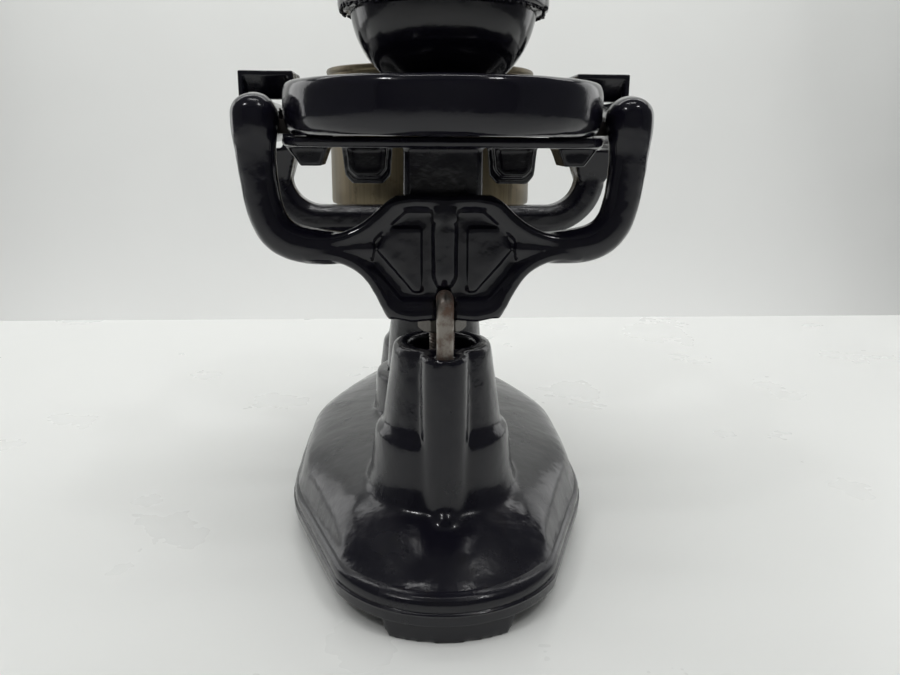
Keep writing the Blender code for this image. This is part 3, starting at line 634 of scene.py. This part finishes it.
def yoke_plate():
    half = [(21.5, 187.0)] + flowing(YOKE_SHOULDER) + flowing(YOKE_WAIST)
    yoke = soft_prism_y("yoke", mirrored(half), YOKE_FRONT, YOKE_BACK, 2.6, 5)
    recess = mirrored(RECESS)
    walls = [(YOKE_FRONT - 2, -3.4), (YOKE_FRONT, -2.6), (YOKE_FRONT + 0.7, -1.2),
             (YOKE_FRONT + 1.8, -0.2), (YOKE_FLOOR_Y, 0.3)]
    recess = loft("recess", [[(x, y, z) for x, z in inset(recess, depth)] for y, depth in walls])
    slope = [(YOKE_BACK, 188), (-106.0, 130), (-106.0, 120), (-90, 120), (-90, 188)]
    cut(yoke, recess, prism_x("slope", slope, -60, 60))
    raised = []
    for side in (-1, 1):
        outline = [(side * x, z) for x, z in PANEL]
        raised.append(soft_prism_y("panel", outline, YOKE_FLOOR_Y - 1.9, YOKE_FLOOR_Y + 1, 0.9))
    rib = []
    for z, back in ((145.6, 4.2), (150.5, 1.5), (177.0, 1.5)):
        rib.append([(x, y, z) for x, y in arc(0.0, YOKE_FLOOR_Y + back, 6.2, 185, 355, 16)])
    raised.append(loft("rib", rib))
    raised.append(box("rib_cap", -5.4, 5.4, -112.6, -106, 175.5, 181.5))
    join(yoke, *raised)
    return cut(yoke, box("notch", -4.6, 4.6, -120, YOKE_FLOOR_Y, 136.6, 142.5))


def beam_iron(look):
    parts = []
    for side in (-1, 1):
        line = flowing(ARM_LINE, 4)
        parts.append(sweep("arm", [(side * x, y, KNIFE_Z) for x, y, _, _ in line],
                           [(wide, high) for _, _, wide, high in line], (1, 0, 0), 36))
        line = flowing(HORN_CROWN + HORN_LINE, 4)
        parts.append(sweep("horn", [(side * x, HORN_Y, z) for x, z, _ in line],
                           [(r, r) for _, _, r in line], (0, 1, 0), 36))
    for line, reach, radius in ((RIM_TOP, YOKE_FRONT + 2.3, 3.3), (RIM_FOOT, YOKE_FRONT + 1.5, 2.9)):
        line = mirrored(flowing(line, 3))
        parts.append(sweep("rim", [(x, reach, z) for x, z in line], [(radius, radius)] * len(line),
                           (0, 1, 0), 20))
    yoke = join(yoke_plate(), *parts)
    tools = [box("hook_way", -4.9, 4.9, -121, YOKE_FRONT - 0.13, 125, 139.7)]
    for y, turn, x0, x1 in KNIVES:
        outline = [(y, KNIFE_Z - turn * 1.0), (y + turn * 4.4, KNIFE_Z + turn * 7.0),
                   (y - turn * 4.4, KNIFE_Z + turn * 7.0)]
        for side in (-1, 1):
            low, high = sorted((side * (x0 - 1), side * (x1 + 0.4)))
            tools.append(prism_x("knife_way", outline, low, high))
    place(cast(cut(yoke, *tools), 0.85, 6, 0.5), "beam_iron", IRON, look, "beam_casting")


# Carriers ---------------------------------------------------------------------

def seat_posts(x0, x1, y, z0):
    posts = []
    for side in (-1, 1):
        for turn in (-1, 1):
            low, high = sorted((side * x0, side * x1))
            y0, y1 = sorted((y + turn * 7.2, y + turn * 12.0))
            posts.append(box("post", low, high, y0, y1, z0, 221.0))
    return posts


def rounded_corners(half_x, half_y, y, corner, steps=12):
    outline = []
    for quarter, (sx, sy) in enumerate(((1, 1), (-1, 1), (-1, -1), (1, -1))):
        outline += arc(sx * (half_x - corner), y + sy * (half_y - corner), corner,
                       quarter * 90, quarter * 90 + 90, steps)
    return outline


def near_carrier_iron(look):
    y = -ARM
    plate = rounded_corners(71.6, 30.0, y, 18.0)
    levels = ((PLATE_Z, 1.2), (PLATE_Z + 1.4, 0.0), (PLATE_TOP - 1.2, 0.0), (PLATE_TOP, 1.0))
    body = loft("plate", [[(px, py, z) for px, py in inset(plate, depth)] for z, depth in levels])
    stem = []
    for z, wide, chamfer in ((128.4, 10.0, 4), (148, 11.5, 4), (163, 18.3, 3), (PLATE_TOP - 1, 18.3, 3)):
        ring = [(wide, 8 - chamfer), (wide - chamfer, 8), (chamfer - wide, 8), (-wide, 8 - chamfer),
                (-wide, chamfer - 8), (chamfer - wide, -8), (wide - chamfer, -8), (wide, chamfer - 8)]
        stem.append([(px, y + py, z) for px, py in ring])
    parts = [loft("stem", stem)] + seat_posts(52.5, 60.0, y, PLATE_TOP - 1)
    sunk = []
    for side in (-1, 1):
        wedge = [(51.5, 208.5), (71.0, 208.5), (64.2, 199.2), (55.2, 199.2)]
        parts.append(soft_prism_y("wedge", [(side * x, z) for x, z in wedge], y - 12, y + 12, 0.8))
        wide = [(23.2, 209.5), (24.6, 193.5), (28.5, 189.5), (43.5, 189.5), (47.0, 193.5), (48.6, 209.5)]
        slim = [(25.6, 209.4), (27.0, 196.5), (30.0, 193.2), (41.8, 193.2), (44.8, 196.5), (46.2, 209.4)]
        wide, slim = ([(side * x, z) for x, z in line] for line in (wide, slim))
        parts.append(soft_prism_y("lug", wide, -64, -59, 0.8))
        parts.append(soft_prism_y("boss", slim, -70, -63, 0.8))
        sunk.append(prism_y("sunk", inset(slim, 2.6), -72, -69.0))
    join(body, *parts)
    cut(body, *sunk, rod_z("bore", LEG_RADIUS + FIT_GAP, 0, y, 120, 141))
    place(cast(body, 0.8, 5, 0.4), "near_carrier_iron", IRON, look, "near_carrier")


def far_carrier_iron(look):
    y = ARM
    hoop = [(68.3, RING_Z + 1), (69.2, RING_Z), (72.0, RING_Z), (73.0, RING_Z + 1),
            (73.0, RING_TOP - 1.2), (71.8, RING_TOP), (69.4, RING_TOP), (68.3, RING_TOP - 1.2)]
    body = lathe("ring", hoop, y, 128)
    parts = [rod_z("tray", 60.0, 0, y, 164, 168, 96)] + seat_posts(70.5, 77.8, y, RING_Z + 0.6)
    tools = [rod_z("bore", LEG_RADIUS + FIT_GAP, 0, y, 150, 175)]
    bridges = []
    for side in (-1, 1):
        y0, y1 = sorted((y + side * 68.8, y + side * 72.6))
        parts.append(box("strap", -8, 8, y0, y1, 164.4, RING_TOP - 2))
        y0, y1 = sorted((y + side * 50, y + side * 72.4))
        parts.append(box("strap_foot", -8, 8, y0, y1, 164.2, 167.8))
        x0, x1 = sorted((side * 60, side * 90))
        tools.append(box("knife_way", x0, x1, y - 7.0, y + 7.0, 200, 240))
        x0, x1 = sorted((side * 68.3, side * 69.9))
        bridges.append(box("bridge", x0, x1, y - 7.6, y + 7.6, RING_Z + 0.3, RING_TOP - 0.4))
    join(body, *parts)
    cut(body, *tools)
    join(body, *bridges)
    place(cast(body, 0.95, 4, 0.35), "far_carrier_iron", IRON, look, "far_carrier")
    weight = [(LEG_RADIUS + FIT_GAP, 131), (38.6, 131), (40, 132.4), (40, 162.2), (38.6, 163.7),
              (LEG_RADIUS + FIT_GAP, 163.7)]
    weight = lathe("weight", eased(weight, 0.8, 3), y, 128)
    place(baked(ripple(split(weight), 16.0, 0.5)), "far_weight_iron", IRON, look, "far_balance_weight")


# Steel fittings ---------------------------------------------------------------

def refined_copy(node, ease):
    """Copy of a machined fitting with its loose triangles merged and its edges eased."""
    work = bmesh.new()
    work.from_mesh(frame["nodes"][node].data)
    bmesh.ops.remove_doubles(work, verts=work.verts, dist=0.00001)
    bmesh.ops.dissolve_limit(work, angle_limit=radians(1.0), verts=work.verts, edges=work.edges)
    mesh = bpy.data.meshes.new(node)
    work.to_mesh(mesh)
    work.free()
    thing = bpy.data.objects.new(node + "_steel", mesh)
    bpy.context.scene.collection.objects.link(thing)
    edge = thing.modifiers.new("ease", "BEVEL")
    edge.width = ease * MM
    edge.segments = 2
    edge.limit_method = "ANGLE"
    edge.angle_limit = radians(40)
    return baked(thing)


def fittings(bright, rusty):
    for word in ("left", "right"):
        for node in (f"fulcrum_bearing_{word}_inner", f"fulcrum_bearing_{word}_outer",
                     f"fulcrum_knife_{word}", f"near_knife_{word}", f"far_knife_{word}"):
            place(refined_copy(node, 0.15), node + "_steel", STEEL, bright, node, smooth=30)
        for node in (f"near_bearing_{word}", f"far_bearing_{word}", f"hood_screw_{word}"):
            place(refined_copy(node, 0.3), node + "_steel", STEEL, rusty, node, smooth=30)
    for node in ("fork_bolt", "check_stay", "near_leg_clevis", "far_leg_clevis"):
        place(refined_copy(node, 0.6), node + "_steel", STEEL, rusty, node, smooth=30)
    for node in ("stay_pivot_pin", "stay_pin_near", "stay_pin_far"):
        place(refined_copy(node, 0.3), node + "_steel", STEEL, bright, node, smooth=30)


def stop_hook_steel(look):
    path = [(0, HOOK_Y, HOOK_FOOT_Z), (0, HOOK_Y, 104), (0, HOOK_Y, 120), (0, HOOK_Y, 130)]
    bend = arc(HOOK_Y + HOOK_BEND, HOOK_ARM_Z - HOOK_BEND, HOOK_BEND, 180, 90, 12)
    path += [(0, y, z) for y, z in bend] + [(0, HOOK_TIP_Y, HOOK_ARM_Z)]
    wire = sweep("hook", path, [(HOOK_RADIUS, HOOK_RADIUS)] * len(path), (1, 0, 0), 40)
    place(baked(ripple(split(wire), 6.0, 0.25)), "stop_hook_steel", STEEL, look, "stop_hook", smooth=50)


def nut_steel(prefix, look):
    low, high = (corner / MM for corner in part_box(f"{prefix}_leg_nut"))
    y = (low.y + high.y) / 2
    corner = NUT_ACROSS_FLATS / (2 * cos(pi / 6))
    nut = prism_z("nut", circle(corner, 6, 0.0, y), low.z, high.z)
    under, over = low.z - 0.01, high.z + 0.01
    crown = [(0, under), (corner - 1.6, under), (corner + 0.2, low.z + 1.2),
             (corner + 0.2, high.z - 1.2), (corner - 1.6, over), (0, over)]
    combine(nut, "INTERSECT", [lathe("crown", crown, y)])
    cut(nut, rod_z("bore", LEG_RADIUS + FIT_GAP, 0, y, low.z - 5, high.z + 5))
    place(nut, f"{prefix}_nut_steel", STEEL, look, f"{prefix}_leg_nut", smooth=30)


# Node trees -------------------------------------------------------------------

def new_tree(title, inputs):
    tree = bpy.data.node_groups.new(title, "GeometryNodeTree")
    for name, kind in inputs:
        tree.interface.new_socket(name, in_out="INPUT", socket_type=kind)
    tree.interface.new_socket("Geometry", in_out="OUTPUT", socket_type="NodeSocketGeometry")
    return tree, add_node(tree, "NodeGroupInput").outputs


def close_tree(tree, geometry, look):
    solid = add_node(tree, "GeometryNodeRealizeInstances", links={"Geometry": geometry})
    dressed = add_node(tree, "GeometryNodeSetMaterial", {"Material": look},
                       {"Geometry": solid.outputs["Geometry"]})
    out = add_node(tree, "NodeGroupOutput")
    tree.links.new(dressed.outputs["Geometry"], out.inputs[0])
    return tree


def grow(tree, name, **settings):
    """Run a node tree with these inputs and keep the plain mesh that it makes."""
    thing = make_mesh(name, [(0, 0, 0)], [])
    modifier = thing.modifiers.new(name, "NODES")
    modifier.node_group = tree
    for item in tree.interface.items_tree:
        if item.item_type == "SOCKET" and item.in_out == "INPUT":
            modifier[item.identifier] = settings[item.name.replace(" ", "_")]
    return baked(thing)


def threaded_rod_tree(look):
    """Round core with a helical ridge at its own pitch."""
    tree, sizes = new_tree("threaded_rod", [
        ("Radius", "NodeSocketFloat"), ("Pitch", "NodeSocketFloat"), ("Length", "NodeSocketFloat"),
        ("Foot", "NodeSocketVector")])
    turns = add_node(tree, "ShaderNodeMath", operation="DIVIDE")
    tree.links.new(sizes["Length"], turns.inputs[0])
    tree.links.new(sizes["Pitch"], turns.inputs[1])
    depth = add_node(tree, "ShaderNodeMath", {1: 0.56}, {0: sizes["Pitch"]}, operation="MULTIPLY")
    root = add_node(tree, "ShaderNodeMath", operation="SUBTRACT")
    tree.links.new(sizes["Radius"], root.inputs[0])
    tree.links.new(depth.outputs[0], root.inputs[1])
    helix = add_node(tree, "GeometryNodeCurveSpiral", {"Resolution": 40},
                     {"Rotations": turns.outputs[0], "Start Radius": root.outputs[0],
                      "End Radius": root.outputs[0], "Height": sizes["Length"]})
    ridge = add_node(tree, "GeometryNodeCurvePrimitiveCircle", {"Resolution": 6},
                     {"Radius": depth.outputs[0]})
    thread = add_node(tree, "GeometryNodeCurveToMesh", {"Fill Caps": True},
                      {"Curve": helix.outputs["Curve"], "Profile Curve": ridge.outputs["Curve"]})
    core = add_node(tree, "GeometryNodeMeshCylinder", {"Vertices": 48},
                    {"Radius": root.outputs[0], "Depth": sizes["Length"]})
    half = add_node(tree, "ShaderNodeMath", {1: 0.5}, {0: sizes["Length"]}, operation="MULTIPLY")
    lift = add_node(tree, "ShaderNodeCombineXYZ", links={"Z": half.outputs[0]})
    raised = add_node(tree, "GeometryNodeTransform", links={
        "Geometry": core.outputs["Mesh"], "Translation": lift.outputs["Vector"]})
    both = add_node(tree, "GeometryNodeJoinGeometry", links={"Geometry": thread.outputs["Mesh"]})
    tree.links.new(raised.outputs["Geometry"], both.inputs["Geometry"])
    put = add_node(tree, "GeometryNodeTransform", links={
        "Geometry": both.outputs["Geometry"], "Translation": sizes["Foot"]})
    return close_tree(tree, put.outputs["Geometry"], look)


def paint_drips_tree(look):
    """Beads of enamel hanging from a round rim, uneven in size and place."""
    tree, sizes = new_tree("paint_drips", [
        ("Rim Radius", "NodeSocketFloat"), ("Drips", "NodeSocketInt"), ("Drip Size", "NodeSocketFloat"),
        ("Centre", "NodeSocketVector"), ("Seed", "NodeSocketInt")])
    rim = add_node(tree, "GeometryNodeMeshCircle", links={
        "Vertices": sizes["Drips"], "Radius": sizes["Rim Radius"]})
    stray = add_node(tree, "FunctionNodeRandomValue",
                     {0: (-0.0009, -0.0009, -0.0003), 1: (0.0009, 0.0009, 0.0006)},
                     {"Seed": sizes["Seed"]}, data_type="FLOAT_VECTOR")
    spread = add_node(tree, "GeometryNodeSetPosition", links={
        "Geometry": rim.outputs["Mesh"], "Offset": stray.outputs[0]})
    drop = add_node(tree, "GeometryNodeMeshIcoSphere", {"Subdivisions": 2},
                    {"Radius": sizes["Drip Size"]})
    shape = add_node(tree, "FunctionNodeRandomValue", {0: (0.7, 0.7, 0.5), 1: (1.5, 1.5, 1.6)},
                     {"Seed": sizes["Seed"]}, data_type="FLOAT_VECTOR")
    hung = add_node(tree, "GeometryNodeInstanceOnPoints", links={
        "Points": spread.outputs["Geometry"], "Instance": drop.outputs["Mesh"],
        "Scale": shape.outputs[0]})
    put = add_node(tree, "GeometryNodeTransform", links={
        "Geometry": hung.outputs["Instances"], "Translation": sizes["Centre"]})
    return close_tree(tree, put.outputs["Geometry"], look)


def leg_rods(tree, look):
    for prefix in ("near", "far"):
        low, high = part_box(f"{prefix}_leg_rod")
        rod = grow(tree, "rod", Radius=LEG_RADIUS * MM, Pitch=THREAD_PITCH * MM, Length=high.z - low.z,
                   Foot=(0.0, (low.y + high.y) / 2, low.z))
        place(rod, f"{prefix}_rod_steel", STEEL, look, f"{prefix}_leg_rod", smooth=60)


# Vessels ----------------------------------------------------------------------

def dish_iron(look):
    z = PLATE_TOP + FIT_GAP
    foot = [(62.3, z), (66.4, z), (68.6, 213.0)]
    wall = [(70.6, 215.2), (71.7, 218.8), (72.0, 223.0), (72.0, 231.0), (70.6, 234.6), (67.0, 235.3),
            (53.0, 235.3), (51.2, 234.6), (50.2, 233.0), (48.6, 229.4), (46.5, 228.0)]
    under = [(46.5, 224.4), (49.8, 226.0), (51.6, 231.4), (53.2, 232.2), (66.8, 232.2), (68.7, 229.2),
             (68.4, 223.2), (67.0, 218.6), (64.6, 215.4), (62.3, 214.2)]
    floor = [(r, 228.0) for r in (36, 24, 12, 0)] + [(r, 224.4) for r in (0, 12, 24, 36)]
    profile = foot + eased(wall, 2.2, 4) + floor + eased(under, 1.5, 2)
    dish = lathe("dish", profile, -ARM, 160)
    slots = []
    for side in (-1, 1):
        x0, x1 = sorted((side * 60.5, side * 74))
        slots.append(box("slot", x0, x1, -ARM - 6.5, -ARM + 6.5, 205, 221.5))
    cut(dish, *slots)
    place(baked(ripple(dish, 15.0, 0.42)), "dish_iron", IRON, look, "goods_dish")


def bowl_iron(look, drips, drip_look):
    def reach(z, radius):
        return (radius ** 2 - (BOWL_CENTRE_Z - z) ** 2) ** 0.5

    outside = [(reach(z, BOWL_RADIUS), z) for z in np.linspace(232.5, 264.4, 24)]
    inside = [(reach(z, BOWL_RADIUS - 3), z) for z in np.linspace(268.0, 233.4, 24)]
    foot = [(0, 228.3), (8, 228.3), (14.6, 228.3), (15.6, 228.7), (16.2, 229.8)]
    rim = [(42.4, 264.8), (45.2, 265.1), (46.2, 266.0), (46.5, 267.6), (46.5, 272.0), (46.2, 273.8),
           (45.2, 274.8), (43.6, 275.0), (41.4, 275.0), (39.8, 274.4), (39.0, 272.8)]
    bowl = lathe("bowl", foot + outside + rim + inside + [(12, 232.4), (0, 232.2)], -ARM, 192)
    place(baked(ripple(bowl, 13.0, 0.35)), "bowl_iron", IRON, look, "goods_bowl")
    beads = grow(drips, "beads", Rim_Radius=44.9 * MM, Drips=84, Drip_Size=1.0 * MM,
                 Centre=(0.0, -ARM * MM, 265.2 * MM), Seed=7)
    place(beads, "bowl_rim_drips", IRON, drip_look, "goods_bowl", smooth=80)


def bucket_brass(look):
    outside = [(0, 168.3), (30, 168.3), (60, 168.3), (64.6, 168.3), (66.6, 169.1), (67, 170.6)]
    outside += [(67, z) for z in np.linspace(180, 249.0, 9)]
    lip = [(67.1, 250.6), (68.1, 251.4), (68.4, 252.6), (67.9, 253.9), (66.6, 254.5), (65.2, 254.3),
           (64.6, 253.4), (65.0, 251.6)]
    inside = [(65.4, z) for z in np.linspace(249.0, 174.0, 9)]
    inside += [(65.0, 171.6), (63.2, 170.2), (60, 170.1), (30, 170.1), (0, 170.1)]
    bucket = lathe("bucket", outside + lip + inside, ARM, 192)
    place(baked(ripple(bucket, 46.0, 0.7)), "bucket_brass", BRASS, look, "brass_bucket")


# Studio -----------------------------------------------------------------------

def studio(table_look, wall_look, painted_shade_look):
    """White table whose far edge stands before a white wall, and the room's other wall, whose grey is
    painted shade.
    """
    top = make_mesh("table", [(-1700, -2200, 0), (1700, -2200, 0), (1700, 460, 0), (-1700, 460, 0)],
                    [(0, 1, 2, 3)])
    top.data.materials.append(table_look)
    # near_wall wears the dim grey look: painted shade for the unlit room behind the camera.
    for name, y, look in (("far_wall", 1300, wall_look), ("near_wall", -2400, painted_shade_look)):
        wall = make_mesh(name, [(-2600, y, -1500), (2600, y, -1500), (2600, y, 2600), (-2600, y, 2600)],
                         [(0, 1, 2, 3)])
        wall.data.materials.append(look)


def area_light(name, place_at, aim, size, power, mirrored_in_gloss=True):
    lamp = bpy.data.lights.new(name, "AREA")
    lamp.shape = "RECTANGLE"
    lamp.size, lamp.size_y = size
    lamp.energy = power
    thing = bpy.data.objects.new(name, lamp)
    thing.location = place_at
    thing.rotation_euler = (Vector(aim) - Vector(place_at)).to_track_quat("-Z", "Y").to_euler()
    thing.visible_glossy = mirrored_in_gloss
    bpy.context.scene.collection.objects.link(thing)


def lights():
    area_light("ceiling", (0.0, -0.6, 1.9), (0.0, -0.6, 0.0), (3.2, 2.6), 28.0, False)
    area_light("tube_lamp", (0.0, -0.1, 1.75), (0.0, -0.1, 0.0), (0.9, 0.07), 2.2)
    area_light("left_window", (-1.2, 0.7, 0.5), (0.0, 0.0, 0.12), (0.6, 0.9), 2.2)
    area_light("right_window", (1.2, 0.75, 0.5), (0.0, 0.0, 0.12), (0.6, 0.9), 1.8)
    area_light("wall_wash", (0.0, 0.75, 1.4), (0.0, 1.3, 0.3), (2.8, 0.3), 11.0)
    area_light("wall_foot_wash", (0.0, 0.8, -0.45), (0.0, 1.3, 0.1), (2.6, 0.3), 6.0)
    area_light("left_lamp", (-0.75, -0.7, 1.3), (0.0, 0.0, 0.1), (0.12, 0.12), 2.0)
    area_light("right_lamp", (0.6, -0.6, 1.4), (0.0, 0.0, 0.1), (0.12, 0.12), 1.7)
    world = bpy.context.scene.world or bpy.data.worlds.new("room")
    bpy.context.scene.world = world
    world.use_nodes = True
    background = world.node_tree.nodes["Background"]
    background.inputs["Color"].default_value = (0.95, 0.98, 1.0, 1.0)
    background.inputs["Strength"].default_value = 0.1
    bpy.context.scene.view_settings.view_transform = "Standard"


def camera():
    heading, pitch, roll = radians(3.4), radians(14.4), radians(0.4)
    ahead = Vector((sin(heading) * cos(pitch), cos(heading) * cos(pitch), -sin(pitch)))
    right = Vector((cos(heading), -sin(heading), 0.0))
    up = right.cross(ahead)
    tilted_right = right * cos(roll) + up * sin(roll)
    tilted_up = up * cos(roll) - right * sin(roll)
    lens = bpy.data.cameras.new("camera")
    lens.lens = 31.2
    lens.sensor_width = 36.0
    lens.clip_start = 0.01
    view = bpy.data.objects.new("camera", lens)
    turn = Matrix((tilted_right, tilted_up, -ahead)).transposed().to_4x4()
    view.matrix_world = Matrix.Translation((-0.0181, -0.4588, 0.212)) @ turn
    bpy.context.scene.collection.objects.link(view)
    bpy.context.scene.camera = view


def build():
    camera()
    lights()
    # The room wall's dim grey (share 0.2) is painted shade for the unlit room behind the camera.
    studio(studio_white("white_table", 0.3), studio_white("white_wall", 0.7),
           studio_white("room_wall", 0.8, 0.2))
    black = enamel("black_enamel", 1.0, 0.2)
    glossy = enamel("glossy_enamel", 0.55, 0.13)
    bright = steel("oiled_steel", 0.2, 0.28)
    rusty = steel("rusty_steel", 0.75)
    base_iron(black)
    fork_iron(black)
    for side, word in ((-1, "left"), (1, "right")):
        hood_iron(side, word, black)
    beam_iron(glossy)
    near_carrier_iron(black)
    far_carrier_iron(black)
    dish_iron(glossy)
    bowl_iron(glossy, paint_drips_tree(glossy), glossy)
    bucket_brass(brass("turned_brass_look"))
    stop_hook_steel(rusty)
    for prefix in ("near", "far"):
        nut_steel(prefix, bright)
    leg_rods(threaded_rod_tree(rusty), rusty)
    fittings(bright, rusty)


build()
bpy.context.view_layer.update()
